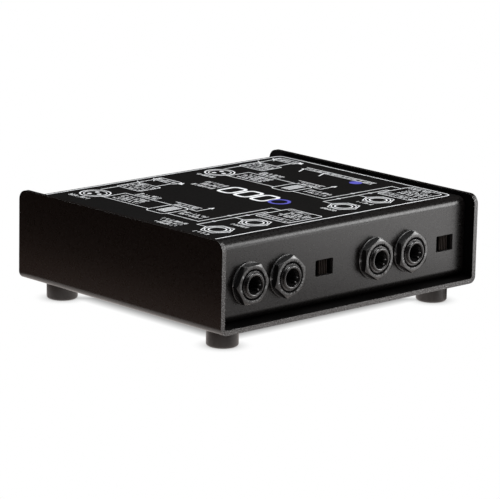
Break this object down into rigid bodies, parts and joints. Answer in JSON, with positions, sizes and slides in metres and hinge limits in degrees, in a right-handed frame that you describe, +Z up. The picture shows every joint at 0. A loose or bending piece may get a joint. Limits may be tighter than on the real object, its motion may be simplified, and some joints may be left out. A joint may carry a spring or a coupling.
{
  "type": "direct injection box",
  "caption": "Passive audio direct injection box: bent steel tray and shell, quarter-inch jacks and pad switches in front, XLR outputs and ground lift switches behind.",
  "frame": {"origin": "bottom centre of the bounding box, on the surface that the rubber feet rest on", "axes": "+X to the right along the front panel, the front panel with its jacks faces -Y, +Z up"},
  "size_m": [0.1396, 0.1204, 0.0442],
  "materials": {
    "powder_coat": "fine-textured black powder coat",
    "rubber": "matt black rubber",
    "screw_steel": "black oxide",
    "jack_plastic": "satin black moulding",
    "washer_steel": "dark nickel plate",
    "nut_plastic": "satin black moulding",
    "spring_brass": "bare spring brass",
    "switch_plastic": "black moulding",
    "slider_plastic": "ribbed black moulding",
    "xlr_metal": "black plated die casting",
    "insert_plastic": "black moulding",
    "pin_silver": "silver plate",
    "core_steel": "varnished laminations",
    "coil_winding": "copper winding under yellow tape",
    "board": "green solder mask"
  },
  "bodies": {
    "enclosure": {"outer_tray": "powder_coat", "top_shell": "powder_coat", "foot_front_left": "rubber", "foot_front_right": "rubber", "foot_rear_left": "rubber", "foot_rear_right": "rubber", "foot_screw_front_left": "screw_steel", "foot_screw_front_right": "screw_steel", "foot_screw_rear_left": "screw_steel", "foot_screw_rear_right": "screw_steel", "case_screw_front_left": "screw_steel", "case_screw_front_right": "screw_steel", "case_screw_rear_left": "screw_steel", "case_screw_rear_right": "screw_steel", "ch1_input_jack_body": "jack_plastic", "ch1_input_jack_washer": "washer_steel", "ch1_input_jack_nut": "nut_plastic", "ch1_input_tip_spring": "spring_brass", "ch1_thru_jack_body": "jack_plastic", "ch1_thru_jack_washer": "washer_steel", "ch1_thru_jack_nut": "nut_plastic", "ch1_thru_tip_spring": "spring_brass", "ch2_input_jack_body": "jack_plastic", "ch2_input_jack_washer": "washer_steel", "ch2_input_jack_nut": "nut_plastic", "ch2_input_tip_spring": "spring_brass", "ch2_thru_jack_body": "jack_plastic", "ch2_thru_jack_washer": "washer_steel", "ch2_thru_jack_nut": "nut_plastic", "ch2_thru_tip_spring": "spring_brass", "ch1_pad_switch_housing": "switch_plastic", "ch1_lift_switch_housing": "switch_plastic", "ch2_pad_switch_housing": "switch_plastic", "ch2_lift_switch_housing": "switch_plastic", "ch1_xlr_shell": "xlr_metal", "ch1_xlr_insert": "insert_plastic", "ch1_xlr_pin_1": "pin_silver", "ch1_xlr_pin_2": "pin_silver", "ch1_xlr_pin_3": "pin_silver", "ch1_xlr_screw_upper": "screw_steel", "ch1_xlr_screw_lower": "screw_steel", "ch1_transformer_core": "core_steel", "ch1_transformer_coil": "coil_winding", "ch2_xlr_shell": "xlr_metal", "ch2_xlr_insert": "insert_plastic", "ch2_xlr_pin_1": "pin_silver", "ch2_xlr_pin_2": "pin_silver", "ch2_xlr_pin_3": "pin_silver", "ch2_xlr_screw_upper": "screw_steel", "ch2_xlr_screw_lower": "screw_steel", "ch2_transformer_core": "core_steel", "ch2_transformer_coil": "coil_winding", "circuit_board": "board"},
    "ch1_pad_slider": {"ch1_pad_switch_slider": "slider_plastic"},
    "ch1_lift_slider": {"ch1_lift_switch_slider": "slider_plastic"},
    "ch2_pad_slider": {"ch2_pad_switch_slider": "slider_plastic"},
    "ch2_lift_slider": {"ch2_lift_switch_slider": "slider_plastic"}
  },
  "joints": [
    {"name": "ch1_pad_slide", "type": "slide", "parent": "enclosure", "child": "ch1_pad_slider", "axis": [1, 0, 0], "range_m": [-0.0018, 0.0018]},
    {"name": "ch1_lift_slide", "type": "slide", "parent": "enclosure", "child": "ch1_lift_slider", "axis": [1, 0, 0], "range_m": [0, 0.0036]},
    {"name": "ch2_pad_slide", "type": "slide", "parent": "enclosure", "child": "ch2_pad_slider", "axis": [1, 0, 0], "range_m": [-0.0018, 0.0018]},
    {"name": "ch2_lift_slide", "type": "slide", "parent": "enclosure", "child": "ch2_lift_slider", "axis": [1, 0, 0], "range_m": [0, 0.0036]}
  ]
}
